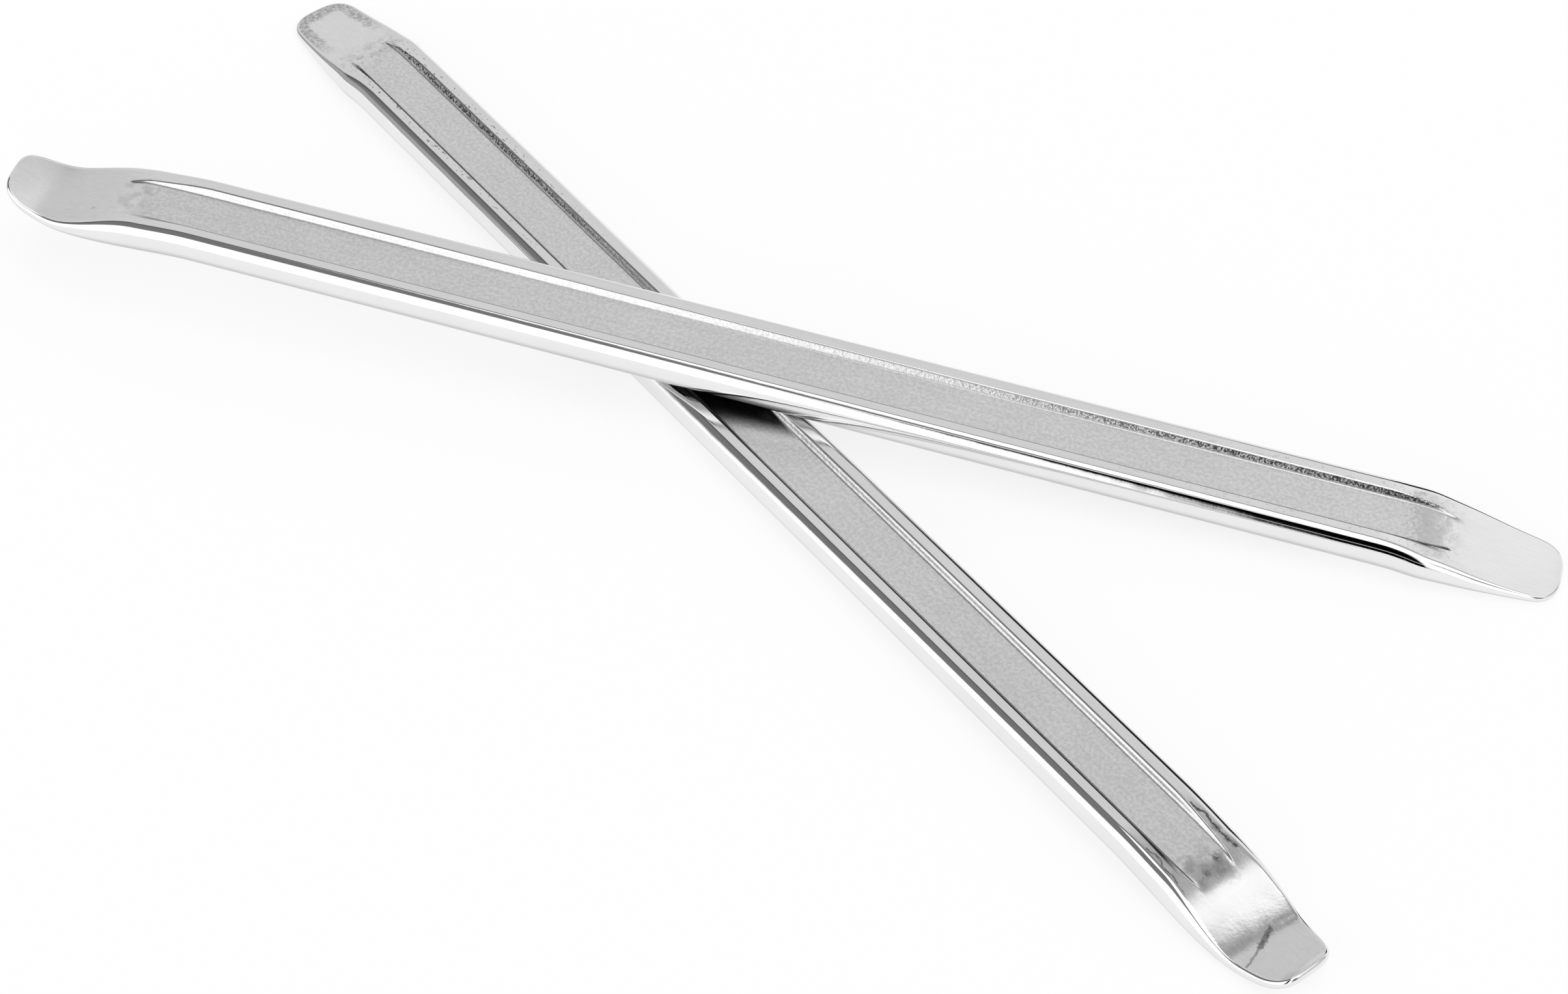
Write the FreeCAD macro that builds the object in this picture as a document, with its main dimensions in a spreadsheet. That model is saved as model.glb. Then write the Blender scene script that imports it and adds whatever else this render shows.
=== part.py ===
import FreeCAD, Part, Sketcher
import math
import os

# Two identical drop-forged tyre levers, one lying across the other. All lengths are millimetres.
#
# A lever is a straight bar of double-T section: a thin web with a rail along either side and a recess in
# each face. One end is a flat tongue, and the other is a spoon that dips and turns up into a lip.
# Each lever is one forging, so it is one body, drawn in its own frame:
#     X runs along the bar from the tongue's tip to the spoon's tip, with zero at mid length,
#     Y runs across the bar,
#     Z is zero on the bar's underside and positive towards the face that carries the spoon's hollow.
# The lower lever rests on the floor. The upper lever has its tongue on the floor and lies on the lower one.

DIMENSIONS = {
    # the straight bar
    "overall_length": 400.0,
    "bar_half_width": 12.2,
    "bar_thickness": 8.9,
    "side_bulge": 3.1,
    # the recess in each face
    "recess_half_width": 6.8,
    "recess_depth": 1.7,
    "recess_draft": 30.0,
    "recess_fillet": 0.8,
    "underside_recess_end": 58.0,
    "underside_corner": 5.0,
    # the tongue
    "tongue_length": 45.0,
    "tongue_tip_thickness": 1.7,
    "tongue_tip_half_width": 8.7,
    # the spoon
    "spoon_length": 53.0,
    "spoon_lip_thickness": 2.7,
    "spoon_tip_half_width": 8.1,
    "spoon_dip": 1.5,
    "spoon_lip_rise": 4.9,
    # how the pair lies
    "crossing_angle": 35.9,
    "crossing_past_upper_middle": 16.7,
    "crossing_short_of_lower_middle": 21.9,
    "resting_gap": 0.2,
}

# Where the sections of each worked end stand, as shares of its length back from the tip.
TONGUE_STATIONS = (0.0, 0.02, 0.05, 0.1, 0.18, 0.3, 0.44, 0.57, 0.66, 0.75, 0.84, 0.93, 1.0)
SPOON_STATIONS = (0.0, 0.02, 0.045, 0.09, 0.17, 0.25, 0.34, 0.43, 0.5, 0.58, 0.68, 0.79, 0.9, 1.0)

# How far each feature of an end reaches back from the tip, as a share of that end's length. The corners are
# the powers of the curve that rounds a tip's outline: 2 is an ellipse, and a higher one is squarer.
TIP_FLAT = 0.006
TONGUE_ROUND = 0.18
TONGUE_CORNER = 3.0
TONGUE_TAPER = 0.59
TONGUE_SHOULDER = 0.75
TONGUE_SHOULDER_SPREAD = 0.1
TONGUE_SHOULDER_SWELL = 0.1
SPOON_ROUND = 0.17
SPOON_CORNER = 3.5
SPOON_TAPER = 0.43
SPOON_LIP = 0.31
SPOON_THIN = 0.21
SPOON_THICK = 0.7
SPOON_BELLY = 0.58

LEAD_IN = 4.0  # plain bar at the root of each end, where its first two sections are alike
OVERCUT = 1.0  # how far a cutting profile stands out of the face that it cuts


def ease(share):
    """Goes from 0 to 1 as share does, level at both ends."""
    share = min(max(share, 0.0), 1.0)
    return share * share * (3.0 - 2.0 * share)


def ramp_to_one(share, blend=0.12):
    """share while it is well below 1, then 1, with a smooth bend between."""
    mix = min(max(0.5 + 0.5 * (1.0 - share) / blend, 0.0), 1.0)
    return 1.0 + (share - 1.0) * mix - blend * mix * (1.0 - mix)


def rounded_tip(share, reach, corner):
    """The share of the width that the tip's rounded outline leaves."""
    inside = max(1.0 - max(share, TIP_FLAT) / reach, 0.0)
    return (1.0 - inside**corner) ** (1.0 / corner)


def cell(alias):
    """The expression for one driving length."""
    return f"(<<Dimensions>>.{alias} * 1 mm)"


def between(low, high, share):
    """The expression for a length that goes from one driving length to another."""
    return f"({cell(low)} + ({cell(high)} - {cell(low)}) * {share:.6f})"


def bar_section():
    """Half width, top and base of the plain bar, as expressions."""
    return cell("bar_half_width"), cell("bar_thickness"), "0 mm"


def tongue_section(share):
    """The same for the tongue: a wedge on the bar's flat underside, with a slight swell at its shoulder."""
    offset = (share - TONGUE_SHOULDER) / TONGUE_SHOULDER_SPREAD
    swell = TONGUE_SHOULDER_SWELL * math.exp(-(offset**2))
    width = between("tongue_tip_half_width", "bar_half_width", ramp_to_one(share / TONGUE_TAPER) + swell)
    top = between("tongue_tip_thickness", "bar_thickness", ease(share))
    return f"{width} * {rounded_tip(share, TONGUE_ROUND, TONGUE_CORNER):.6f}", top, "0 mm"


def spoon_section(share):
    """The same for the spoon: its base dips below the bar's underside, then rises into the lip."""
    width = between("spoon_tip_half_width", "bar_half_width", ramp_to_one(share / SPOON_TAPER))
    dip = ease((1.0 - share) / (1.0 - SPOON_BELLY))
    rise = max(1.0 - share / SPOON_LIP, 0.0) ** 2
    base = f"({cell('spoon_lip_rise')} * {rise:.6f} - {cell('spoon_dip')} * {dip:.6f})"
    thickening = ease((share - SPOON_THIN) / (SPOON_THICK - SPOON_THIN))
    thickness = between("spoon_lip_thickness", "bar_thickness", thickening)
    return f"{width} * {rounded_tip(share, SPOON_ROUND, SPOON_CORNER):.6f}", f"({base} + {thickness})", base


class Profile:
    """A sketch on one of a body's origin planes whose points are all placed by expressions."""

    def __init__(self, body, name, role, offset="0 mm"):
        plane = next(item for item in body.Origin.OriginFeatures if item.Role == role)
        self.body = body
        self.sketch = body.newObject("Sketcher::SketchObject", name)
        self.sketch.AttachmentSupport = [(plane, "")]
        self.sketch.MapMode = "FlatFace"
        self.sketch.setExpression("AttachmentOffset.Base.z", offset)

    def value(self, expression):
        """What an expression comes to in millimetres."""
        return self.body.evalExpression(expression).Value

    def point(self, across, up):
        """A sketch point from two expressions."""
        return FreeCAD.Vector(self.value(across), self.value(up), 0)

    def bind(self, kind, geometry, *details):
        """Adds a dimension driven by the expression that comes last in details."""
        *where, expression = details
        constraint = Sketcher.Constraint(kind, geometry, *where, self.value(expression))
        index = self.sketch.addConstraint(constraint)
        self.sketch.setExpression(f"Constraints[{index}]", expression)

    def loop(self, corners, arcs=None):
        """A closed outline through corners, given as pairs of expressions.

        arcs gives the expression for the radius of the arc that leaves a corner, by the corner's index, with
        the pair of expressions for a point on it. The other sides are straight.
        """
        arcs = arcs or {}
        points = [self.point(*corner) for corner in corners]
        starts = []
        ends = []
        for index, start in enumerate(points):
            end = points[(index + 1) % len(points)]
            if index in arcs:
                middle = self.point(*arcs[index][1])
                side = self.sketch.addGeometry(Part.Arc(start, middle, end))
            else:
                side = self.sketch.addGeometry(Part.LineSegment(start, end))
            first = self.sketch.getPoint(side, 1)
            forward = first.distanceToPoint(start) < first.distanceToPoint(end)
            starts.append((side, 1 if forward else 2))
            ends.append((side, 2 if forward else 1))
        for index, corner in enumerate(corners):
            self.sketch.addConstraint(Sketcher.Constraint("Coincident", *ends[index - 1], *starts[index]))
            for kind, expression in zip(("DistanceX", "DistanceY"), corner):
                self.bind(kind, -1, 1, *starts[index], expression)
        for index, (radius, _) in arcs.items():
            self.bind("Radius", starts[index][0], radius)
        return self.sketch


def draw_section(body, name, station, half, top, base):
    """A section of the bar: flat faces, and sides that bulge in step with the thickness."""
    middle = f"(({top} + {base}) / 2)"
    bulge = f"({cell('side_bulge')} * ({top} - {base}) / {cell('bar_thickness')})"
    rise = f"(({top} - {base}) / 2)"
    radius = f"({rise} * {rise} + {bulge} * {bulge}) / (2 * {bulge})"
    flat = f"({half} - {bulge})"
    corners = [(flat, top), (flat, base), (f"-{flat}", base), (f"-{flat}", top)]
    sides = {0: (radius, (half, middle)), 2: (radius, (f"-({half})", middle))}
    return Profile(body, name, "YZ_Plane", station).loop(corners, sides)


def draw_end(body, name, stations, section, place):
    """Sections of one worked end, from its tip to the plain bar."""
    sketches = [
        draw_section(body, f"{name}Section{index}", place(share, 0.0), *section(share))
        for index, share in enumerate(stations)
    ]
    sketches.append(draw_section(body, f"{name}Root", place(1.0, LEAD_IN), *bar_section()))
    return sketches


def tongue_place(share, lead):
    """How far along X a share of the tongue stands, as an expression."""
    return f"{cell('tongue_length')} * {share} - {cell('overall_length')} / 2 + {lead} mm"


def spoon_place(share, lead):
    """The same for the spoon."""
    return f"{cell('overall_length')} / 2 - {cell('spoon_length')} * {share} - {lead} mm"


def draw_recess(body):
    """The recess in the upper face: sloping walls that meet a flat floor in small fillets."""
    slope = "(<<Dimensions>>.recess_draft * 1 deg)"
    fillet = cell("recess_fillet")
    floor = f"({cell('bar_thickness')} - {cell('recess_depth')})"
    floor_half = f"({cell('recess_half_width')} - {cell('recess_depth')} * tan({slope}))"
    tangent = f"({fillet} / tan(45 deg + {slope} / 2))"
    flat_half = f"({floor_half} - {tangent})"
    wall_foot = f"({floor_half} + {tangent} * sin({slope}))"
    wall_foot_up = f"({floor} + {tangent} * cos({slope}))"
    rim_half = f"({cell('recess_half_width')} + {OVERCUT} mm * tan({slope}))"
    rim_up = f"({cell('bar_thickness')} + {OVERCUT} mm)"
    bend = f"({flat_half} + {fillet} * sin(45 deg - {slope} / 2))"
    bend_up = f"({floor} + {fillet} * (1 - cos(45 deg - {slope} / 2)))"
    corners = [
        (rim_half, rim_up),
        (wall_foot, wall_foot_up),
        (flat_half, floor),
        (f"-{flat_half}", floor),
        (f"-{wall_foot}", wall_foot_up),
        (f"-{rim_half}", rim_up),
    ]
    fillets = {1: (fillet, (bend, bend_up)), 3: (fillet, (f"-{bend}", bend_up))}
    station = f"{cell('overall_length')} / 2 + {OVERCUT} mm"
    return Profile(body, "RecessProfile", "YZ_Plane", station).loop(corners, fillets)


def draw_underside_recess(body):
    """The outline of the recess in the underside: a rectangle with rounded corners."""
    corner = cell("underside_corner")
    width = f"({cell('recess_half_width')} + {OVERCUT} mm * tan(<<Dimensions>>.recess_draft * 1 deg))"
    length = f"({cell('overall_length')} / 2 - {cell('underside_recess_end')})"
    bend = f"({corner} * (1 - cos(45 deg)))"
    corners = []
    rounds = {}
    for turn, (x_sign, y_sign) in enumerate((("", ""), ("-", ""), ("-", "-"), ("", "-"))):
        on_end = (f"{x_sign}{length}", f"{y_sign}({width} - {corner})")
        on_side = (f"{x_sign}({length} - {corner})", f"{y_sign}{width}")
        rounds[2 * turn] = (corner, (f"{x_sign}({length} - {bend})", f"{y_sign}({width} - {bend})"))
        corners += [on_end, on_side] if turn % 2 == 0 else [on_side, on_end]
    return Profile(body, "UndersideOutline", "XY_Plane", f"-{OVERCUT} mm").loop(corners, rounds)


def recompute_cut(doc, body, cut):
    """Recomputes a cut that has just been added and makes sure that it takes material away."""
    before = cut.BaseFeature.Shape.Volume
    doc.recompute()
    if not body.Shape.Volume < before:
        raise RuntimeError(f"{cut.Name} cuts nothing")


def build_lever(doc, label):
    """One lever, in its own frame."""
    body = doc.addObject("PartDesign::Body", label)
    body.Label = label

    tongue = draw_end(body, "Tongue", TONGUE_STATIONS, tongue_section, tongue_place)
    spoon = draw_end(body, "Spoon", SPOON_STATIONS, spoon_section, spoon_place)
    start = draw_section(body, "BarSection", tongue_place(1.0, LEAD_IN), *bar_section())
    recess = draw_recess(body)
    underside = draw_underside_recess(body)
    doc.recompute()

    bar = body.newObject("PartDesign::Pad", "Bar")
    bar.Profile = start
    ends = f"({cell('tongue_length')} + {cell('spoon_length')} + {2 * LEAD_IN} mm)"
    bar.setExpression("Length", f"{cell('overall_length')} - {ends}")
    doc.recompute()

    for name, sections in (("Tongue", tongue), ("Spoon", spoon)):
        end = body.newObject("PartDesign::AdditiveLoft", name)
        end.Profile = sections[-1]
        end.Sections = sections[-2::-1]
        doc.recompute()

    channel = body.newObject("PartDesign::Pocket", "Recess")
    channel.Profile = recess
    channel.setExpression("Length", f"{cell('overall_length')} + {2 * OVERCUT} mm")
    recompute_cut(doc, body, channel)

    hollow = body.newObject("PartDesign::Pocket", "UndersideRecess")
    hollow.Profile = underside
    hollow.Reversed = True
    hollow.setExpression("Length", f"{cell('recess_depth')} + {OVERCUT} mm")
    hollow.setExpression("TaperAngle", "-<<Dimensions>>.recess_draft * 1 deg")
    recompute_cut(doc, body, hollow)
    return body


def lie_down(lever, yaw, pitch, middle_x, middle_y):
    """Puts a lever with the tongue's tip on the floor, turned by yaw, its spoon end raised by pitch."""
    half_length = DIMENSIONS["overall_length"] / 2.0
    turn = FreeCAD.Rotation(FreeCAD.Vector(0, 0, 1), yaw)
    tilt = FreeCAD.Rotation(FreeCAD.Vector(0, 1, 0), -pitch)
    base = FreeCAD.Vector(middle_x, middle_y, half_length * math.sin(math.radians(pitch)))
    lever.Placement = FreeCAD.Placement(base, turn * tilt)


def cross(lower, upper):
    """Lays the upper lever across the lower one, and centres the pair on the origin."""
    size = DIMENSIONS
    half_length = size["overall_length"] / 2.0
    half_angle = math.radians(size["crossing_angle"] / 2.0)
    lower_yaw = -size["crossing_angle"] / 2.0
    upper_yaw = 180.0 - lower_yaw

    # The lower lever stands on the tongue's tip and on the spoon's belly.
    span = size["overall_length"] - size["spoon_length"] * SPOON_BELLY
    lower_pitch = math.degrees(math.atan2(size["spoon_dip"], span))

    # The rails' flats overlap in a rhombus. The corner towards the upper tongue is where they come closest.
    flat = size["bar_half_width"] - size["side_bulge"]
    reach = flat / math.tan(half_angle)
    upper_at = size["crossing_past_upper_middle"] - reach + half_length
    lower_at = -size["crossing_short_of_lower_middle"] + reach + half_length
    lower_top = size["bar_thickness"] + lower_at * math.sin(math.radians(lower_pitch))
    upper_pitch = math.degrees(math.asin((lower_top + size["resting_gap"]) / upper_at))

    ahead_x = math.cos(half_angle)
    ahead_y = math.sin(half_angle)
    along_lower = size["crossing_short_of_lower_middle"]
    along_upper = size["crossing_past_upper_middle"]
    lie_down(lower, lower_yaw, lower_pitch, along_lower * ahead_x, -along_lower * ahead_y)
    lie_down(upper, upper_yaw, upper_pitch, along_upper * ahead_x, along_upper * ahead_y)

    box = lower.Shape.optimalBoundingBox(False)
    box.add(upper.Shape.optimalBoundingBox(False))
    for lever in (lower, upper):
        lever.Placement.Base -= FreeCAD.Vector(box.Center.x, box.Center.y, 0)


def main():
    """Builds the pair and writes one file for each lever."""
    doc = FreeCAD.newDocument("TyreLevers")
    sheet = doc.addObject("Spreadsheet::Sheet", "Dimensions")
    for row, (alias, length) in enumerate(DIMENSIONS.items(), start=1):
        sheet.set(f"A{row}", alias)
        sheet.set(f"B{row}", str(length))
        sheet.setAlias(f"B{row}", alias)
    doc.recompute()

    lower = build_lever(doc, "lower_lever")
    upper = build_lever(doc, "upper_lever")
    cross(lower, upper)
    doc.recompute()

    for item in doc.Objects:
        if "Invalid" in item.State or "Error" in item.State:
            raise RuntimeError(f"{item.Name} failed: {item.State}")
    for lever in (lower, upper):
        if lever.Shape.isNull() or not lever.Shape.isValid() or len(lever.Shape.Solids) != 1:
            raise RuntimeError(f"{lever.Label} is not one valid solid")

    os.makedirs("parts", exist_ok=True)
    for lever in (lower, upper):
        lever.Shape.exportStep(f"parts/{lever.Label}.step")
        box = lever.Shape.optimalBoundingBox(False)
        print(f"{lever.Label}: volume {lever.Shape.Volume:.0f} mm3, box {box}")


main()
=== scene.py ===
import math

import bmesh
import bpy
import numpy as np
from mathutils import Matrix, Vector


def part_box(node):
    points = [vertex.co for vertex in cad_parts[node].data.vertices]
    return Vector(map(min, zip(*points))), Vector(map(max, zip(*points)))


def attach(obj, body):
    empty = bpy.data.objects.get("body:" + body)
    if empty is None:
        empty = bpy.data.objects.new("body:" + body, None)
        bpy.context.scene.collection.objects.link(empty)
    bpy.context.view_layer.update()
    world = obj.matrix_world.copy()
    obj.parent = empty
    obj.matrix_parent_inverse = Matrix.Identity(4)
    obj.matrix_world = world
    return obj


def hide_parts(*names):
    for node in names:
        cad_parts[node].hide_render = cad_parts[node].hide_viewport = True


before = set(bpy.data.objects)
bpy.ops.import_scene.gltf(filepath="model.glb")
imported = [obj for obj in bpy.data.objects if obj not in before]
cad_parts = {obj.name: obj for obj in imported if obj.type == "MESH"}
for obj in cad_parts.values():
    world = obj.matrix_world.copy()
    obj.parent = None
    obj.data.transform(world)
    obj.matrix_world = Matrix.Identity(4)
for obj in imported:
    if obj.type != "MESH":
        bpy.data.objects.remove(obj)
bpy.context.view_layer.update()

# Two drop-forged, chrome-plated tyre levers, one lying across the other. A lever's own frame has X
# from the tongue's tip to the spoon's tip with zero at mid length, Y across, and Z from zero on the
# bar's underside. Its sizes are in millimetres, as in the CAD. Its mesh is in metres, where it lies.

MM = 0.001
HALF_LENGTH = 200.0
HALF_WIDTH = 12.2
THICKNESS = 8.9
BULGE = 3.1

# The recess in each face: a flat web between sloping walls, which the blends round off where they meet.
# The rim's blend is at most SHALLOW_BLEND of the depth, where the recess runs out. The one underneath
# ends at UNDER_END from mid length.
RECESS_RIM = 6.8
RECESS_DEPTH = 1.7
WALL_SLOPE = math.tan(math.radians(60.0))
WALL_FOOT = RECESS_RIM - RECESS_DEPTH / WALL_SLOPE
EDGE_BLEND = 0.7
SHALLOW_BLEND = 0.7
RUN_OUT_BLEND = 1.7
UNDER_END = 142.0
UNDER_CORNER = 5.0

# The two ends. Tip is the thickness there, half and taper give the half width, and round and power
# the rounded corners in plan. Blend rounds the place where the taper reaches the bar's width. Shoulder
# is a slight swelling where the tongue meets the bar.
TONGUE = {
    "length": 45.0, "tip": 1.7, "half": 8.7, "taper": 0.1318, "round": 8.1, "power": 3.0, "blend": 1.0
}
SHOULDER = {"at": 33.8, "spread": 4.5, "swell": 0.35}
SPOON = {
    "length": 53.0, "tip": 2.7, "half": 8.1, "taper": 0.18, "round": 9.0, "power": 3.5, "blend": 1.5
}
DIP = {"depth": 1.5, "reach": 22.3}
THICKENING = {"start": 11.1, "reach": 26.0}
LIP = {"reach": 16.4, "curve": 0.0182}
DISH = {"depth": 0.3, "at": 14.0, "spread": 9.0}

# Where the mesh has its points. Stations run along the lever, fine up to END_REACH from each tip. Rows
# run across half a face: few over the web, many over the wall, then OUTER_ROWS as shares of the rest.
TIP_STATIONS = 30
END_REACH = 62.0
FINE_STEP = 0.6
COARSE_STEP = 3.0
INNER_ROWS = np.concatenate([np.linspace(0.0, 5.2, 8), np.linspace(5.35, 7.4, 18)])
INNER_SHARE = 0.86
OUTER_ROWS = np.linspace(0.0, 1.0, 7)[1:]
SIDE_TURNS = np.radians(np.linspace(90.0, -90.0, 33))
WELD = 0.02 * MM
SLIVER = 0.005 * MM

# Values stored on the mesh for the finish: three masks, and as edge the distance in from the top's
# edge. The last mask marks painted shade on the whole underside and the lower part of the sides, as
# though the lever stood in its own shadow. The millimetres say where a mask starts and over how much
# it fades. The last two numbers say how the underside's painted shade climbs the side.
MASKS = ("web", "wall", "edge", "under_shade")
WEB_START = 0.1
WEB_FADE = 0.7
UNDER_WEB_FADE = 0.8
WALL_FADE = 0.3
WALL_MARGIN = 0.2
UNDER_SHADE_START = -0.05
UNDER_SHADE_GROWTH = 1.4

# How each lever lies: turn about Z, and how far its spoon end is raised, in degrees.
LIES = {
    "lower_lever": {"yaw": -17.95, "pitch": 0.2327},
    "upper_lever": {"yaw": 197.95, "pitch": 3.0202},
}


def ease(t):
    """0 to 1 with level ends."""
    t = np.clip(t, 0.0, 1.0)
    return t * t * (3.0 - 2.0 * t)


def soft_min(a, b, blend):
    """The smaller of two, with a rounded corner."""
    blend = np.maximum(blend, 1e-6)
    mix = np.clip(0.5 + 0.5 * (b - a) / blend, 0.0, 1.0)
    return b + (a - b) * mix - blend * mix * (1.0 - mix)


def soft_max(a, b, blend):
    """The larger of two, with a rounded corner."""
    return -soft_min(-a, -b, blend)


def rounded(s, end):
    """The share of the width that the rounded tip leaves at s from the tip."""
    inside = np.clip(1.0 - s / end["round"], 0.0, 1.0)
    return np.maximum(1.0 - inside ** end["power"], 0.0) ** (1.0 / end["power"])


def tongue(s):
    """Half width, top and base at s from the tongue's tip."""
    top = TONGUE["tip"] + (THICKNESS - TONGUE["tip"]) * ease(s / TONGUE["length"])
    half = soft_min(TONGUE["half"] + TONGUE["taper"] * s, HALF_WIDTH + 0.0 * s, TONGUE["blend"])
    half = half + SHOULDER["swell"] * np.exp(-(((s - SHOULDER["at"]) / SHOULDER["spread"]) ** 2))
    return half * rounded(s, TONGUE), top, 0.0 * s


def spoon(s):
    """The same from the spoon's tip."""
    thickening = ease((s - THICKENING["start"]) / THICKENING["reach"])
    thick = SPOON["tip"] + (THICKNESS - SPOON["tip"]) * thickening
    dip = DIP["depth"] * ease((SPOON["length"] - s) / DIP["reach"])
    base = LIP["curve"] * np.clip(LIP["reach"] - s, 0.0, None) ** 2 - dip
    half = soft_min(SPOON["half"] + SPOON["taper"] * s, HALF_WIDTH + 0.0 * s, SPOON["blend"])
    return half * rounded(s, SPOON), base + thick, base


def stations():
    """X along the lever, close together where the shape changes fast."""
    turn = np.radians(np.linspace(0.0, 90.0, TIP_STATIONS))
    from_tip = []
    for end in (TONGUE, SPOON):
        near = end["round"] * (1.0 - np.cos(turn) ** (2.0 / end["power"]))
        from_tip.append(np.concatenate([near, np.arange(near[-1] + FINE_STEP, END_REACH, FINE_STEP)]))
    middle = np.arange(END_REACH + 2.0 - HALF_LENGTH, HALF_LENGTH - END_REACH - 1.0, COARSE_STEP)
    return np.concatenate([from_tip[0] - HALF_LENGTH, middle, (HALF_LENGTH - from_tip[1])[::-1]])


def lever_sections(x):
    """Half width, top and base at every x."""
    ends = zip(tongue(x + HALF_LENGTH), spoon(HALF_LENGTH - x))
    return [np.where(x < 0, at_tongue, at_spoon) for at_tongue, at_spoon in ends]


def outline_normals(x, half):
    """Outward direction of the outline in plan, at the +Y side."""
    along = np.gradient(x)
    across = np.gradient(half)
    length = np.hypot(along, across)
    out_x, out_y = -across / length, along / length
    out_x[0], out_y[0] = -1.0, 0.0
    out_x[-1], out_y[-1] = 1.0, 0.0
    return out_x, out_y


def top_face(flat_x, y, flat, top):
    """Height of the upper face, and masks for the matt web and the recess's walls."""
    dish = DISH["depth"] * np.exp(-(((HALF_LENGTH - flat_x - DISH["at"]) / DISH["spread"]) ** 2))
    plain = top[:, None] - dish[:, None] * (1.0 - (y / np.maximum(flat, 1e-3)[:, None]) ** 2)
    floor = THICKNESS - RECESS_DEPTH
    centre = soft_min(plain, floor, RUN_OUT_BLEND)
    slope = floor + (y - WALL_FOOT) * WALL_SLOPE
    inside = soft_max(centre, slope, EDGE_BLEND)
    depth = np.maximum(plain - centre, 0.0)
    height = soft_min(plain, inside, np.minimum(EDGE_BLEND, SHALLOW_BLEND * depth))
    sunk = ease((depth - WEB_START) / WEB_FADE)
    past_foot = ease((y - WALL_FOOT) / WALL_FADE)
    past_rim = ease((y - RECESS_RIM + WALL_MARGIN) / WALL_FADE)
    return height, sunk * (1.0 - past_foot), sunk * past_foot * (1.0 - past_rim)


def under_face(flat_x, y, base):
    """Height of the underside, and a mask for its matt web, which ends square with rounded corners."""
    inset = np.abs(flat_x)[:, None] - (UNDER_END - UNDER_CORNER)
    side = y - (RECESS_RIM - UNDER_CORNER)
    outside = np.hypot(np.maximum(inset, 0.0), np.maximum(side, 0.0)) - UNDER_CORNER
    outside = outside + np.minimum(np.maximum(inset, side), 0.0)
    wall = soft_max(0.0 * outside, (outside + RECESS_DEPTH / WALL_SLOPE) * WALL_SLOPE, EDGE_BLEND)
    hollow = RECESS_DEPTH - wall
    return base[:, None] + soft_max(0.0 * hollow, hollow, EDGE_BLEND), ease(hollow / UNDER_WEB_FADE)


def lever_rings():
    """Points of the skin in the lever's own frame, a ring for each station, each with its masks."""
    x = stations()
    half, top, base = lever_sections(x)
    out_x, out_y = outline_normals(x, half)
    bulge = BULGE * (top - base) / THICKNESS
    flat = np.maximum(half - out_y * bulge, 0.0)
    flat_x = x - out_x * bulge

    squeeze = np.minimum(1.0, INNER_SHARE * flat / INNER_ROWS[-1])
    inner = INNER_ROWS[None, :] * squeeze[:, None]
    outer = inner[:, -1:] + (flat[:, None] - inner[:, -1:]) * OUTER_ROWS[None, :]
    y = np.concatenate([inner, outer], axis=1)
    face_x = np.repeat(flat_x[:, None], y.shape[1], axis=1)
    top_z, top_web, top_wall = top_face(flat_x, y, flat, top)
    under_z, under_web = under_face(flat_x, y, base)
    edge = flat[:, None] - y

    shrink = bulge[:, None] * (1.0 - np.cos(SIDE_TURNS)[None, :])
    side_x = x[:, None] - out_x[:, None] * shrink
    side_y = half[:, None] - out_y[:, None] * shrink
    side_z = ((top + base)[:, None] + (top - base)[:, None] * np.sin(SIDE_TURNS)[None, :]) / 2.0
    none = 0.0 * side_z
    # Painted shade on the lower part of each side, as though the lever stood in its own shadow.
    side_under_shade = none + ease(UNDER_SHADE_START - UNDER_SHADE_GROWTH * np.sin(SIDE_TURNS))

    # Across the top from +Y to -Y, down the -Y side, back along the underside, and up the +Y side.
    plus_top = np.stack([face_x, y, top_z, top_web, top_wall, edge, 0.0 * y], axis=-1)
    # The whole underside carries the painted shade mask.
    plus_under = np.stack([face_x, y, under_z, under_web, 0.0 * y, edge, 0.0 * y + 1.0], axis=-1)
    plus_side = np.stack([side_x, side_y, side_z, none, none, none, side_under_shade], axis=-1)
    flip = np.ones(plus_top.shape[-1])
    flip[1] = -1.0
    parts = [
        plus_top[:, ::-1],
        plus_top[:, 1:] * flip,
        plus_side[:, 1:-1] * flip,
        plus_under[:, ::-1] * flip,
        plus_under[:, 1:],
        plus_side[:, -2:0:-1],
    ]
    return np.concatenate(parts, axis=1)


def skin(name, rings, place):
    """One closed mesh over the rings. Each point keeps its own place as lever_mm, and its masks."""
    count, per = rings.shape[:2]
    flat = rings.reshape(-1, rings.shape[2])
    faces = []
    for first in range(0, (count - 1) * per, per):
        for j in range(per):
            k = (j + 1) % per
            faces.append((first + j, first + k, first + per + k, first + per + j))
    mesh = bpy.data.meshes.new(name)
    mesh.from_pydata([place @ Vector(point[:3]) for point in flat], [], faces)
    own_place = mesh.attributes.new("lever_mm", "FLOAT_VECTOR", "POINT")
    own_place.data.foreach_set("vector", flat[:, :3].ravel())
    for column, mask in enumerate(MASKS, start=3):
        stored = mesh.attributes.new(mask, "FLOAT", "POINT")
        stored.data.foreach_set("value", flat[:, column].copy())

    work = bmesh.new()
    work.from_mesh(mesh)
    bmesh.ops.remove_doubles(work, verts=work.verts, dist=WELD)
    bmesh.ops.dissolve_degenerate(work, edges=work.edges, dist=SLIVER)
    bmesh.ops.holes_fill(work, edges=[edge for edge in work.edges if edge.is_boundary], sides=0)
    bmesh.ops.recalc_face_normals(work, faces=work.faces)
    work.to_mesh(mesh)
    work.free()
    mesh.polygons.foreach_set("use_smooth", [True] * len(mesh.polygons))
    return mesh


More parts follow.
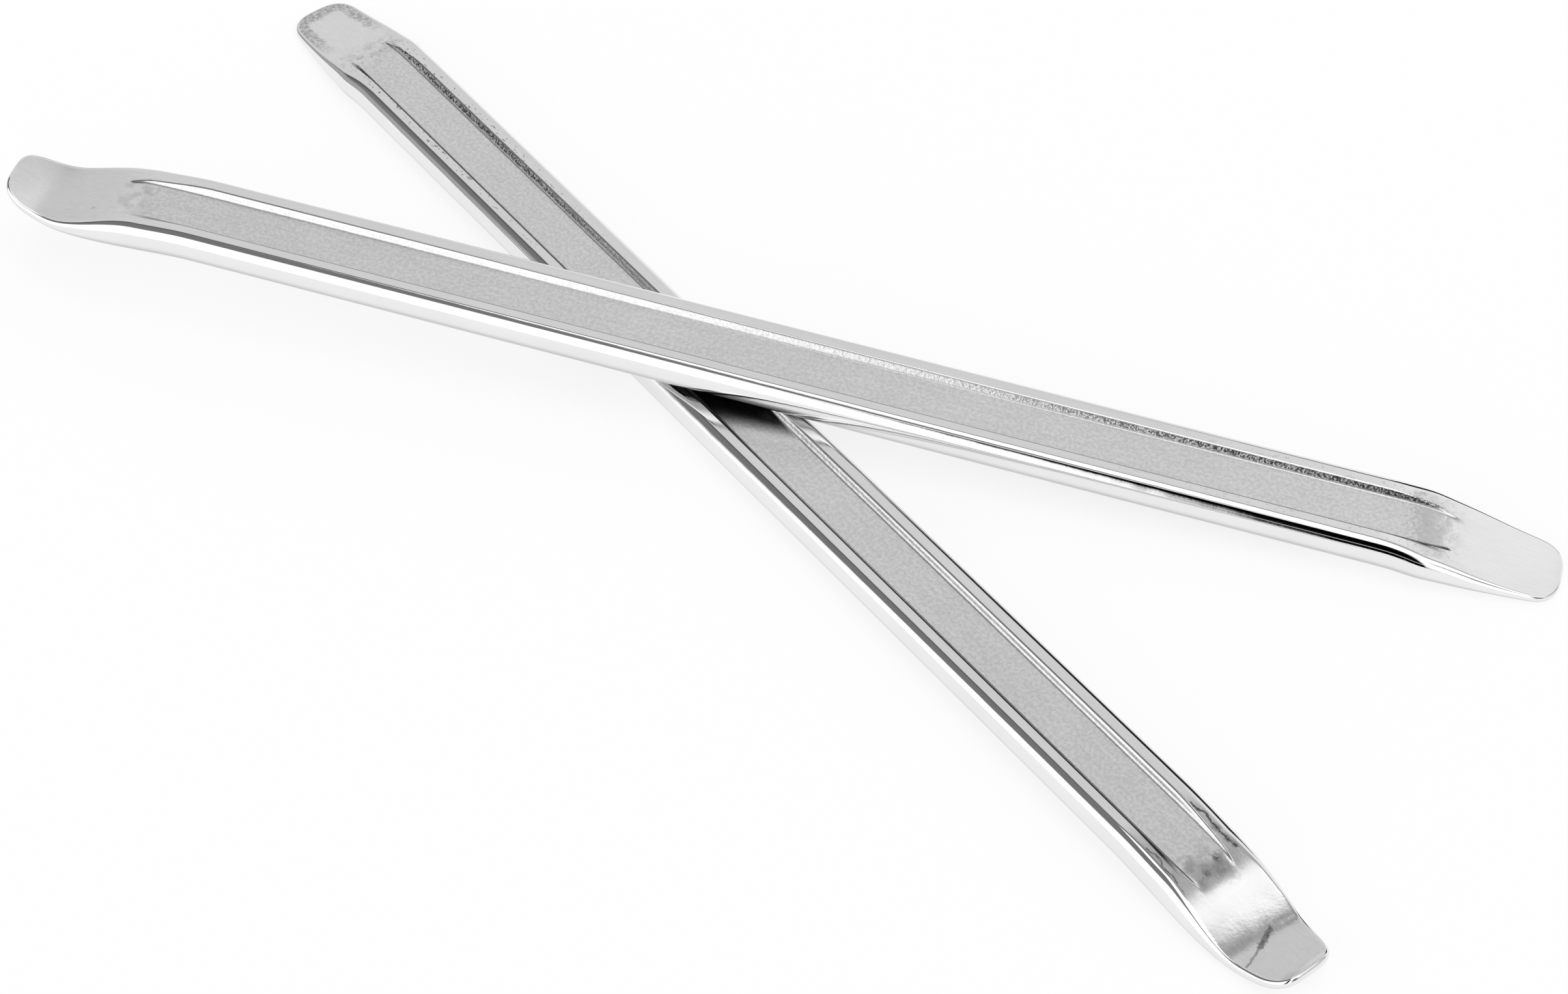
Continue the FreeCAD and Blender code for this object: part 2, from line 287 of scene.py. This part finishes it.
class Nodes:
    """A small helper that writes shader maths as function calls."""

    def __init__(self, tree):
        self.tree = tree

    def add(self, kind, **settings):
        node = self.tree.nodes.new(kind)
        for key, value in settings.items():
            setattr(node, key, value)
        return node

    def feed(self, socket, value):
        if isinstance(value, bpy.types.NodeSocket):
            self.tree.links.new(value, socket)
        else:
            socket.default_value = value

    def math(self, operation, *values):
        node = self.add("ShaderNodeMath", operation=operation)
        for socket, value in zip(node.inputs, values):
            self.feed(socket, value)
        return node.outputs[0]

    def plus(self, first, *others):
        for other in others:
            first = self.math("ADD", first, other)
        return first

    def times(self, first, *others):
        for other in others:
            first = self.math("MULTIPLY", first, other)
        return first

    def rest(self, share):
        """What is left of 1."""
        return self.math("SUBTRACT", 1.0, share)

    def dot(self, vector, direction):
        node = self.add("ShaderNodeVectorMath", operation="DOT_PRODUCT")
        self.feed(node.inputs[0], vector)
        node.inputs[1].default_value = direction
        return node.outputs["Value"]

    def rise(self, value, span):
        """0 below the span, 1 above it, and a smooth rise between."""
        node = self.add("ShaderNodeMapRange", interpolation_type="SMOOTHSTEP")
        self.feed(node.inputs["Value"], value)
        node.inputs["From Min"].default_value, node.inputs["From Max"].default_value = span
        return node.outputs["Result"]

    def fall(self, value, span):
        """1 below the span, 0 above it, and a smooth fall between."""
        return self.rest(self.rise(value, span))

    def mix(self, share, first, second):
        """From the first value at share 0 to the second at share 1."""
        node = self.add("ShaderNodeMix", data_type="FLOAT")
        self.feed(node.inputs[0], share)
        self.feed(node.inputs[2], first)
        self.feed(node.inputs[3], second)
        return node.outputs[0]

    def mask(self, name):
        """A value stored on the mesh."""
        return self.add("ShaderNodeAttribute", attribute_name=name).outputs["Fac"]

    def far_from(self, where, start, end):
        """Distance in plan from the line between two points, in millimetres."""
        across = Vector(end) - Vector(start)
        here = self.add("ShaderNodeVectorMath", operation="MULTIPLY_ADD")
        self.feed(here.inputs[0], where)
        here.inputs[1].default_value = (1.0, 1.0, 0.0)
        here.inputs[2].default_value = -Vector((*start, 0.0))
        share = self.dot(here.outputs[0], Vector((*across, 0.0)) / across.length_squared)
        share = self.math("MINIMUM", self.math("MAXIMUM", share, 0.0), 1.0)
        back = self.add("ShaderNodeVectorMath", operation="SCALE")
        back.inputs[0].default_value = (*across, 0.0)
        self.feed(back.inputs["Scale"], share)
        gap = self.add("ShaderNodeVectorMath", operation="DISTANCE")
        self.feed(gap.inputs[0], here.outputs[0])
        self.feed(gap.inputs[1], back.outputs[0])
        return gap.outputs["Value"]

    def ragged(self, distance, noise, amount):
        """A distance that the noise moves to and fro."""
        return self.plus(distance, self.times(self.plus(noise, -0.5), amount))

    def noise(self, where, scale, detail, roughness=0.55, stretch=(1.0, 1.0, 1.0)):
        """Noise from 0 to 1 about 0.5, with scale in features per millimetre."""
        grow = self.add("ShaderNodeVectorMath", operation="MULTIPLY")
        self.feed(grow.inputs[0], where)
        grow.inputs[1].default_value = stretch
        node = self.add("ShaderNodeTexNoise", noise_dimensions="3D")
        self.feed(node.inputs["Vector"], grow.outputs[0])
        node.inputs["Scale"].default_value = scale
        node.inputs["Detail"].default_value = detail
        node.inputs["Roughness"].default_value = roughness
        return node.outputs[0]


CAMERA_AZIMUTH = 34.43
CAMERA_ELEVATION = 49.626
CAMERA_DISTANCE = 0.82106
CAMERA_TARGET = Vector((0.019215, -0.016322, 0.0))
CAMERA_LENS = 77.17


# Brightness of the studio's parts, where 1 is just white.
WHITE = 1.35
REAR = 0.72
REAR_RIGHT = 0.94
GAP = 0.13
GAP_RIGHT = 0.42
OVERHEAD_LEFT = 0.2
FAR_RIGHT = 0.7
LAMP = 0.4
CORNER = 0.42
DOORWAY = 0.02
PALE = 0.96

# Where the studio's parts lie. A pair is a soft edge: the two values between which a part comes in or
# goes out, measured by how far a direction points to the front, to the right or up. A tilt turns such
# an edge, and a bend turns part of it.
REAR_TILT = -0.25
REAR_SHIFT = 0.05
REAR_RIGHT_LEFT_EDGE = (0.15, 0.38)
REAR_RIGHT_TOP_EDGE = (-0.59, -0.54)
GAP_REAR_EDGE = (-0.5, -0.42)
GAP_FRONT_LEFT = -0.38
GAP_FRONT_RIGHT = -0.13
GAP_FRONT_TURN = (0.12, 0.28)
GAP_FRONT_EDGE = (-0.05, 0.05)
GAP_RIGHT_EDGE = (0.12, 0.3)
OVERHEAD_LEFT_EDGE = (-0.18, -0.09)
OVERHEAD_STEP = -0.045
OVERHEAD_STEP_EDGE = (0.2, 0.45)
OVERHEAD_FRONT_EDGE = (0.52, 0.6)
FAR_RIGHT_EDGE = (0.58, 0.7)
PANEL_TILT = -0.6
PANEL_TOP_EDGE = (0.46, 0.64)
PANEL_REAR_EDGE = (-0.02, 0.09)
PANEL_RIGHT_EDGE = (0.2, 0.35)
OPENING_TILT = 0.32
OPENING_BEND_FROM = 0.5
OPENING_BEND = 0.3
OPENING_LEFT_EDGE = (-0.04, 0.04)
OPENING_REAR_EDGE = (0.5, 0.6)
OPENING_RIGHT_EDGE = (-0.05, 0.1)
LAMP_FOOT_EDGE = (0.24, 0.28)
LAMP_TOP_EDGE = (0.31, 0.35)
DOORWAY_TILT = 1.2
DOORWAY_LEFT_EDGE = (-0.8, -0.72)
DOORWAY_TOP_EDGE = (0.5, 0.62)
DOORWAY_FRONT_EDGE = (-0.74, -0.66)
CORNER_FRONT_EDGE = (-0.02, 0.06)
CORNER_RIGHT_EDGE = (-0.75, -0.6)
CORNER_TOP_EDGE = (0.36, 0.5)


def studio_light(n, front, right, up):
    """Brightness of the studio in a direction, by how far it points to the front, to the right and up.

    A grey rear wall, lighter on the right, with a dark gap between it and the white overhead. The
    overhead is dark on the left and at the front. A white panel at the front left, a dark opening at
    the front with a thin lamp in it, a nearly black doorway in the rear wall, and a dull corner at the
    left rear.
    """
    rear = n.plus(front, n.times(right, REAR_TILT), REAR_SHIFT)
    on_rear_right = n.times(n.rise(right, REAR_RIGHT_LEFT_EDGE), n.fall(rear, REAR_RIGHT_TOP_EDGE))
    light = n.mix(on_rear_right, REAR, REAR_RIGHT)
    gap = n.mix(n.rise(right, GAP_RIGHT_EDGE), GAP, GAP_RIGHT)
    light = n.mix(n.rise(rear, GAP_REAR_EDGE), light, gap)

    step = n.times(n.rise(front, OVERHEAD_STEP_EDGE), OVERHEAD_STEP)
    on_white = n.times(
        n.rise(n.plus(right, step), OVERHEAD_LEFT_EDGE), n.fall(front, OVERHEAD_FRONT_EDGE)
    )
    overhead = n.mix(on_white, OVERHEAD_LEFT, WHITE)
    overhead = n.mix(n.rise(right, FAR_RIGHT_EDGE), overhead, FAR_RIGHT)
    gap_front = n.mix(n.rise(right, GAP_FRONT_TURN), GAP_FRONT_LEFT, GAP_FRONT_RIGHT)
    past_gap = n.rise(n.math("SUBTRACT", front, gap_front), GAP_FRONT_EDGE)
    light = n.mix(past_gap, light, overhead)

    panel = n.fall(n.plus(up, n.times(front, PANEL_TILT)), PANEL_TOP_EDGE)
    panel = n.times(panel, n.rise(front, PANEL_REAR_EDGE), n.fall(right, PANEL_RIGHT_EDGE))
    light = n.mix(panel, light, WHITE)

    higher = n.math("MAXIMUM", n.plus(up, -OPENING_BEND_FROM), 0.0)
    opening = n.plus(right, n.times(front, OPENING_TILT), n.times(higher, OPENING_BEND))
    opening = n.times(
        n.rise(opening, OPENING_LEFT_EDGE),
        n.rise(front, OPENING_REAR_EDGE),
        n.fall(right, OPENING_RIGHT_EDGE),
    )
    lamp = n.times(n.rise(up, LAMP_FOOT_EDGE), n.fall(up, LAMP_TOP_EDGE), LAMP)
    light = n.mix(opening, light, lamp)

    doorway = n.rise(n.plus(right, n.times(front, DOORWAY_TILT)), DOORWAY_LEFT_EDGE)
    doorway = n.times(doorway, n.fall(up, DOORWAY_TOP_EDGE), n.fall(front, DOORWAY_FRONT_EDGE))
    light = n.mix(doorway, light, DOORWAY)

    corner = n.times(n.fall(front, CORNER_FRONT_EDGE), n.fall(right, CORNER_RIGHT_EDGE))
    return n.mix(n.times(corner, n.fall(up, CORNER_TOP_EDGE)), light, CORNER)


def make_world():
    """The studio that the chrome mirrors, and a plain pale backdrop for the camera."""
    world = bpy.data.worlds.new("studio")
    bpy.context.scene.world = world
    world.use_nodes = True
    tree = world.node_tree
    tree.nodes.clear()
    n = Nodes(tree)
    where = n.add("ShaderNodeTexCoord").outputs["Generated"]
    a = math.radians(CAMERA_AZIMUTH)
    front = n.dot(where, (math.sin(a), -math.cos(a), 0.0))
    right = n.dot(where, (math.cos(a), math.sin(a), 0.0))
    up = n.dot(where, (0.0, 0.0, 1.0))

    studio = n.add("ShaderNodeBackground")
    studio.inputs["Color"].default_value = (1.0, 1.0, 1.0, 1.0)
    n.feed(studio.inputs["Strength"], studio_light(n, front, right, up))
    pale = n.add("ShaderNodeBackground")
    pale.inputs["Color"].default_value = (PALE, PALE, PALE, 1.0)
    both = n.add("ShaderNodeMixShader")
    n.feed(both.inputs[0], n.add("ShaderNodeLightPath").outputs["Is Camera Ray"])
    n.feed(both.inputs[1], studio.outputs[0])
    n.feed(both.inputs[2], pale.outputs[0])
    out = n.add("ShaderNodeOutputWorld")
    n.feed(out.inputs["Surface"], both.outputs[0])


FLOOR_REACH = 4.0
FLOOR_DROP = 0.2 * MM
FLOOR_GREY = 0.25
FLOOR_GLOW = 0.81


def make_floor():
    """A plain pale floor, which glows so that it is nearly white with hardly a shadow."""
    signs = ((-1, -1), (1, -1), (1, 1), (-1, 1))
    corners = [(x * FLOOR_REACH, y * FLOOR_REACH, 0.0) for x, y in signs]
    mesh = bpy.data.meshes.new("floor")
    mesh.from_pydata(corners, [], [(0, 1, 2, 3)])
    floor = bpy.data.objects.new("floor", mesh)
    bpy.context.collection.objects.link(floor)
    floor.location.z = -FLOOR_DROP
    material = bpy.data.materials.new("pale_floor")
    material.use_nodes = True
    shader = material.node_tree.nodes["Principled BSDF"]
    shader.inputs["Base Color"].default_value = (FLOOR_GREY, FLOOR_GREY, FLOOR_GREY, 1.0)
    shader.inputs["Roughness"].default_value = 0.9
    shader.inputs["Specular IOR Level"].default_value = 0.1
    shader.inputs["Emission Color"].default_value = (1.0, 1.0, 1.0, 1.0)
    shader.inputs["Emission Strength"].default_value = FLOOR_GLOW
    mesh.materials.append(material)


def make_camera():
    """The camera, at the angle the pair is seen from."""
    data = bpy.data.cameras.new("camera")
    camera = bpy.data.objects.new("camera", data)
    bpy.context.collection.objects.link(camera)
    a, e = math.radians(CAMERA_AZIMUTH), math.radians(CAMERA_ELEVATION)
    back = Vector((math.sin(a) * math.cos(e), -math.cos(a) * math.cos(e), math.sin(e)))
    camera.location = CAMERA_TARGET + back * CAMERA_DISTANCE
    camera.rotation_mode = "QUATERNION"
    camera.rotation_quaternion = (-back).to_track_quat("-Z", "Y")
    data.sensor_width = 36.0
    data.lens = CAMERA_LENS
    data.clip_start = 0.01
    data.clip_end = 50.0
    bpy.context.scene.camera = camera


# What differs between the two levers' finish: how worn the tongue's rim is, how pitted the plate is,
# how dark the painted reflection is at the ends of the recess, how uneven the spoon's bed is, how dark
# the painted reflection is along one edge of the recess, which side it is on, and the scars. A scar
# runs between two points, x and y in the lever's own frame, with its half width, how dark it is, and
# how broken up.
FINISHES = {
    "lower_lever": {
        "rim_wear": 1.0,
        "pits": 1.0,
        "run_out_reflection": 0.3,
        "uneven": 0.2,
        "rim_reflection": 0.95,
        "reflection_side": -1.0,
        "scars": [
            ((184.6, 2.7), (186.8, -1.9), 0.8, 0.85, 0.3),
            ((186.8, -1.9), (189.3, -9.6), 0.4, 0.55, 0.3),
            ((183.9, 4.8), (184.8, 10.0), 0.7, 0.35, 0.3),
            ((184.4, -10.0), (183.0, 3.5), 1.6, 0.22, 0.7),
            ((152.5, 7.6), (160.0, 8.1), 0.5, 0.95, 0.2),
            ((160.0, 8.1), (166.5, 8.3), 0.8, 0.95, 0.5),
            ((155.5, -8.0), (169.9, -9.1), 0.4, 0.9, 0.4),
            ((166.0, 2.7), (166.1, 2.9), 1.9, 0.85, 0.6),
            ((167.8, -1.4), (167.7, -1.7), 1.6, 0.85, 0.6),
            ((165.5, -3.0), (169.0, 3.5), 3.8, 0.35, 0.6),
        ],
    },
    "upper_lever": {
        "rim_wear": 0.0,
        "pits": 0.25,
        "run_out_reflection": 0.15,
        "uneven": 0.1,
        "rim_reflection": 0.55,
        "reflection_side": 1.0,
        "scars": [
            ((175.7, 4.3), (175.9, 4.6), 0.5, 0.3, 0.4),
            ((-164.0, -9.6), (-162.3, -7.5), 1.6, 0.4, 0.8),
            ((-169.6, 0.9), (-170.7, -1.8), 1.9, 0.3, 0.8),
            ((-166.0, -5.0), (-167.5, 5.5), 5.5, 0.2, 0.3),
        ],
    },
}


# Reflectance of the lever's parts.
SIDE_GREY = 0.84
RAIL_GREY = 0.86
SPOON_GREY = 0.76
WEB_GREY = 0.8
BLUE_TINT = 1.004

# How much of its reflectance a place loses, and how far a noise moves it.
# Painted shade on the underside and the lower sides, as though in the lever's own shadow.
UNDER_SHADE_LOSS = 0.5
# The recess's walls are a little darker throughout.
WALL_LOSS = 0.08
# A speckled painted dark reflection on the recess's walls, mostly on the tongue's half.
WALL_REFLECTION_LOSS = 0.15
SPECKLED_REFLECTION_LOSS = 0.65
WORN_LOSS = 0.08
WORN_RASP_LOSS = 0.38
PIT_LOSS = 0.55
# Painted shade on the web where the other lever covers it.
COVER_SHADE_LOSS = 0.9
BROAD_SWING = 0.1
RASP_SWING = 0.16
STREAK_SWING = 0.16

# How dull each thing is. These add up to the roughness.
PLATE_DULL = 0.05
RAIL_DULL = 0.07
STREAK_DULL = 0.08
WEB_DULL = 0.24
WALL_DULL = 0.05
WORN_DULL = 0.2
RUN_OUT_REFLECTION_DULL = 0.15
PIT_DULL = 0.2
SPOON_BED_DULL = 0.06
SCAR_DULL = 0.15

# How high each unevenness stands, in millimetres. Grain is the finest, then coarse, warp and broad.
GRAIN_HEIGHT = 0.003
WEB_GRAIN = 0.03
WALL_GRAIN = 0.012
ROUGH_WALL_GRAIN = 0.05
WORN_GRAIN = 0.03
SPOON_BED_GRAIN = 0.1
COARSE_HEIGHT = 0.008
RUN_OUT_COARSE = 0.06
SPOON_BED_WARP = 0.7
BROAD_HEIGHT = 0.12
STREAK_HEIGHT = 0.004
PIT_DEPTH = 0.05

# Where things are on a lever. A pair is a soft edge: the two distances in millimetres between which a
# thing comes in or goes out, from a tip, from mid length, from the middle line or in from the top's
# edge. A pair of pairs is where it comes in and where it goes out. A scar's edge is in half widths.
TOP_EDGE = (0.05, 0.6)
SPOON_GREY_END = (25.0, 40.0)
WORN_EDGE = (2.8, 3.9)
WORN_RAGGED = -2.6
WORN_AT_TIP = 0.8
WORN_END = (13.0, 24.0)
PITS_START = (22.0, 34.0)
PITS_END = (60.0, 150.0)
SPOON_RUN_OUT = ((27.0, 31.0), (34.0, 42.0))
TONGUE_RUN_OUT = ((22.0, 27.0), (31.0, 36.0))
TONGUE_RUN_OUT_SHARE = 0.5
RUN_OUT_INSET = (2.0, 5.0)
SPOON_BED = ((8.0, 13.0), (19.0, 26.0))
SCAR_WANDER = 3.0
SCAR_FRAY = 2.5
SCAR_EDGE = (0.3, 1.2)
# Where the painted dark reflection on the walls fades out towards the spoon.
DARK_WALL_END = (-120.0, -10.0)
ROUGH_WALL_END = (-20.0, 90.0)
# Where the painted dark reflection along the recess's edge lies across, and how far it keeps from the
# ends.
RIM_REFLECTION_LINE = ((6.2, 6.5), (7.0, 7.3))
RIM_REFLECTION_FROM_TONGUE = (28.0, 36.0)
RIM_REFLECTION_FROM_SPOON = (34.0, 42.0)
# How far, and with how many samples, the painted shade on the web looks for the other lever.
SHELTER_REACH = 12.0 * MM
SHELTER_SAMPLES = 8

# The band of values of a noise that is stretched to 0 and 1.
RASP_BAND = (0.36, 0.64)
SPECKLE_BAND = (0.42, 0.58)
PIT_BAND = (0.64, 0.7)
RUN_OUT_REFLECTION_BAND = (0.42, 0.62)
SHELTER_BAND = (0.4, 0.75)


class Chrome(Nodes):
    """Chrome plate over a forging: bright sides, satin rails and ends, and a matt, grained web."""

    def __init__(self, tree, finish):
        super().__init__(tree)
        self.finish = finish
        self.where = self.add("ShaderNodeAttribute", attribute_name="lever_mm").outputs["Vector"]
        self.along = self.dot(self.where, (1.0, 0.0, 0.0))
        self.from_tongue = self.plus(self.along, HALF_LENGTH)
        self.from_spoon = self.math("SUBTRACT", HALF_LENGTH, self.along)
        self.web, self.wall, self.edge, self.under_shade = (self.mask(mask) for mask in MASKS)
        self.top = self.rise(self.edge, TOP_EDGE)
        self.satin = self.times(self.top, self.rest(self.web))

        self.grain = self.noise(self.where, scale=1.1, detail=3.0, roughness=0.6)
        self.coarse = self.noise(self.where, scale=0.32, detail=2.0)
        self.broad = self.noise(self.where, scale=0.05, detail=2.0)
        self.warp = self.noise(self.where, scale=0.13, detail=1.0)
        self.streaks = self.noise(self.where, scale=1.6, detail=2.0, stretch=(0.03, 1.0, 1.0))
        self.rasp = self.rise(self.grain, RASP_BAND)

        self.worn = self.worn_rim()
        self.pits = self.pitting()
        self.run_out = self.run_outs()
        self.spoon_bed = self.within(self.from_spoon, SPOON_BED, finish["uneven"])
        # A patchy painted dark reflection where the recess runs out into each end, which is also duller
        # there.
        patchy = self.rise(self.coarse, RUN_OUT_REFLECTION_BAND)
        self.run_out_reflection = self.times(patchy, self.run_out, self.top, finish["run_out_reflection"])
        self.scarred = self.scars()

    def within(self, value, ends, *shares):
        """1 between two soft edges and 0 outside them, times the shares."""
        return self.times(self.rise(value, ends[0]), self.fall(value, ends[1]), *shares)

    def worn_rim(self):
        """Wear around the tongue's tip, ragged on its inner side."""
        inward = self.math("MINIMUM", self.edge, self.times(self.from_tongue, WORN_AT_TIP))
        rim = self.fall(self.ragged(inward, self.coarse, WORN_RAGGED), WORN_EDGE)
        return self.times(rim, self.fall(self.from_tongue, WORN_END), self.top, self.finish["rim_wear"])

    def pitting(self):
        """Pits in the rails near the tongue, thinning out towards mid length."""
        specks = self.noise(self.where, scale=1.5, detail=1.0, stretch=(0.6, 1.0, 1.0))
        area = self.within(self.from_tongue, (PITS_START, PITS_END))
        return self.times(self.rise(specks, PIT_BAND), area, self.satin, self.finish["pits"])

    def run_outs(self):
        """The two places where the recess runs out into an end."""
        inset = self.rise(self.edge, RUN_OUT_INSET)
        at_spoon = self.within(self.from_spoon, SPOON_RUN_OUT, inset)
        at_tongue = self.within(self.from_tongue, TONGUE_RUN_OUT, TONGUE_RUN_OUT_SHARE)
        return self.plus(at_spoon, at_tongue)

    def scars(self):
        """How dark a scar makes a place. The noise makes each scar wander and fray."""
        wander = self.add("ShaderNodeVectorMath", operation="MULTIPLY_ADD")
        self.feed(wander.inputs[0], self.plus(self.coarse, -0.5))
        wander.inputs[1].default_value = (0.0, SCAR_WANDER, 0.0)
        self.feed(wander.inputs[2], self.where)
        scarred = 0.0
        for start, end, width, dark, broken in self.finish["scars"]:
            gap = self.far_from(wander.outputs[0], start, end)
            frayed = self.ragged(gap, self.grain, width * SCAR_FRAY)
            mark = self.fall(frayed, [width * share for share in SCAR_EDGE])
            mark = self.times(mark, self.top, dark)
            mark = self.times(mark, self.mix(broken, 1.0, self.rasp))
            scarred = self.math("MAXIMUM", scarred, mark)
        return scarred

    def wall_darkening(self):
        """Darkening on the recess's walls: a little throughout, and a painted dark reflection, speckled
        and mostly on the tongue's half.
        """
        speckle = self.rise(self.noise(self.where, scale=1.9, detail=1.0), SPECKLE_BAND)
        painted_reflection = self.plus(WALL_REFLECTION_LOSS, self.times(speckle, SPECKLED_REFLECTION_LOSS))
        painted_reflection = self.times(painted_reflection, self.fall(self.along, DARK_WALL_END))
        return self.times(self.wall, self.plus(WALL_LOSS, painted_reflection))

    def rim_reflection_line(self):
        """A painted dark reflection: a line along the recess's edge on the side that faces the camera.
        """
        aside = self.dot(self.where, (0.0, self.finish["reflection_side"], 0.0))
        line = self.within(aside, RIM_REFLECTION_LINE, self.finish["rim_reflection"], self.top)
        line = self.times(line, self.rise(self.from_tongue, RIM_REFLECTION_FROM_TONGUE))
        return self.times(line, self.rise(self.from_spoon, RIM_REFLECTION_FROM_SPOON))

    def web_painted_shade(self):
        """Painted shade on the web: what it keeps of its brightness, nearly nothing where the other
        lever covers it.
        """
        shelter = self.add("ShaderNodeAmbientOcclusion", samples=SHELTER_SAMPLES)
        shelter.inputs["Distance"].default_value = SHELTER_REACH
        open_air = self.rise(shelter.outputs["AO"], SHELTER_BAND)
        return self.mix(self.web, 1.0, self.mix(open_air, 1.0 - COVER_SHADE_LOSS, 1.0))

    def about_one(self, noise, swing):
        """A factor that the noise moves about 1, by half the swing each way."""
        return self.plus(1.0 - swing / 2.0, self.times(noise, swing))

    def reflectance(self):
        """How much light each place mirrors. It carries painted shade under the lever and where the
        other lever covers the web, and painted dark reflections on the walls, along one edge of the
        recess and at the recess's ends.
        """
        ends = self.mix(self.fall(self.from_spoon, SPOON_GREY_END), RAIL_GREY, SPOON_GREY)
        grey = self.mix(self.top, SIDE_GREY, self.mix(self.web, ends, WEB_GREY))
        recess = self.math("MAXIMUM", self.web, self.wall)
        wear = self.plus(WORN_LOSS, self.times(self.rasp, WORN_RASP_LOSS))
        return self.times(
            grey,
            self.rest(self.times(self.under_shade, UNDER_SHADE_LOSS)),
            self.rest(self.wall_darkening()),
            self.rest(self.rim_reflection_line()),
            self.web_painted_shade(),
            self.about_one(self.broad, BROAD_SWING),
            self.mix(recess, 1.0, self.about_one(self.rasp, RASP_SWING)),
            self.mix(self.top, 1.0, self.about_one(self.streaks, STREAK_SWING)),
            self.rest(self.times(self.worn, wear)),
            self.rest(self.times(self.pits, PIT_LOSS)),
            self.rest(self.run_out_reflection),
            self.rest(self.scarred),
        )

    def roughness(self):
        """How dull each place is."""
        brushed = self.plus(RAIL_DULL, self.times(self.streaks, STREAK_DULL))
        return self.plus(
            PLATE_DULL,
            self.times(self.satin, brushed),
            self.times(self.web, WEB_DULL),
            self.times(self.wall, WALL_DULL),
            self.times(self.worn, WORN_DULL),
            self.times(self.run_out_reflection, RUN_OUT_REFLECTION_DULL),
            self.times(self.pits, PIT_DULL),
            self.times(self.spoon_bed, SPOON_BED_DULL),
            self.times(self.scarred, SCAR_DULL),
        )

    def relief(self):
        """Height of the finish's unevenness, in millimetres."""
        rough_wall = self.times(self.fall(self.along, ROUGH_WALL_END), ROUGH_WALL_GRAIN)
        grain = self.plus(
            GRAIN_HEIGHT,
            self.times(self.web, WEB_GRAIN),
            self.times(self.wall, self.plus(WALL_GRAIN, rough_wall)),
            self.times(self.worn, WORN_GRAIN),
            self.times(self.spoon_bed, SPOON_BED_GRAIN),
        )
        coarse = self.plus(COARSE_HEIGHT, self.times(self.run_out, RUN_OUT_COARSE))
        return self.plus(
            self.times(self.broad, BROAD_HEIGHT),
            self.times(self.grain, grain),
            self.times(self.coarse, coarse),
            self.times(self.warp, self.spoon_bed, SPOON_BED_WARP),
            self.times(self.streaks, self.satin, STREAK_HEIGHT),
            self.times(self.pits, -PIT_DEPTH),
        )


def chrome(name, finish):
    """The material for one lever."""
    material = bpy.data.materials.new(name)
    material.use_nodes = True
    n = Chrome(material.node_tree, finish)
    shader = material.node_tree.nodes["Principled BSDF"]
    shader.inputs["Metallic"].default_value = 1.0
    grey = n.reflectance()
    tint = n.add("ShaderNodeCombineColor")
    for channel, value in zip(tint.inputs, (grey, grey, n.times(grey, BLUE_TINT))):
        n.feed(channel, value)
    n.feed(shader.inputs["Base Color"], tint.outputs[0])
    n.feed(shader.inputs["Roughness"], n.roughness())
    bump = n.add("ShaderNodeBump")
    bump.inputs["Distance"].default_value = MM
    n.feed(bump.inputs["Height"], n.relief())
    n.feed(shader.inputs["Normal"], bump.outputs[0])
    return material


def make_lever(name, lie):
    """One lever, laid where its CAD node lies."""
    rings = lever_rings()
    yaw, pitch = math.radians(lie["yaw"]), math.radians(lie["pitch"])
    turn = Matrix.Rotation(yaw, 4, "Z") @ Matrix.Rotation(-pitch, 4, "Y")
    laid = rings[..., :3].reshape(-1, 3) @ np.array(turn.to_3x3()).T * MM
    cad_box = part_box(name)
    middle = (cad_box[0] + cad_box[1]) / 2.0 - Vector((laid.min(0) + laid.max(0)) / 2.0)
    middle.z = HALF_LENGTH * MM * math.sin(pitch)
    place = Matrix.Translation(middle) @ turn @ Matrix.Scale(MM, 4)
    mesh = skin(name + "_skin", rings, place)
    lever = bpy.data.objects.new(name + "_forging", mesh)
    bpy.context.collection.objects.link(lever)
    mesh.materials.append(chrome(name + "_chrome", FINISHES[name]))
    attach(lever, name)
    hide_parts(name)


for lever_name, lie in LIES.items():
    make_lever(lever_name, lie)
make_world()
make_floor()
make_camera()
bpy.context.scene.view_settings.view_transform = "Standard"
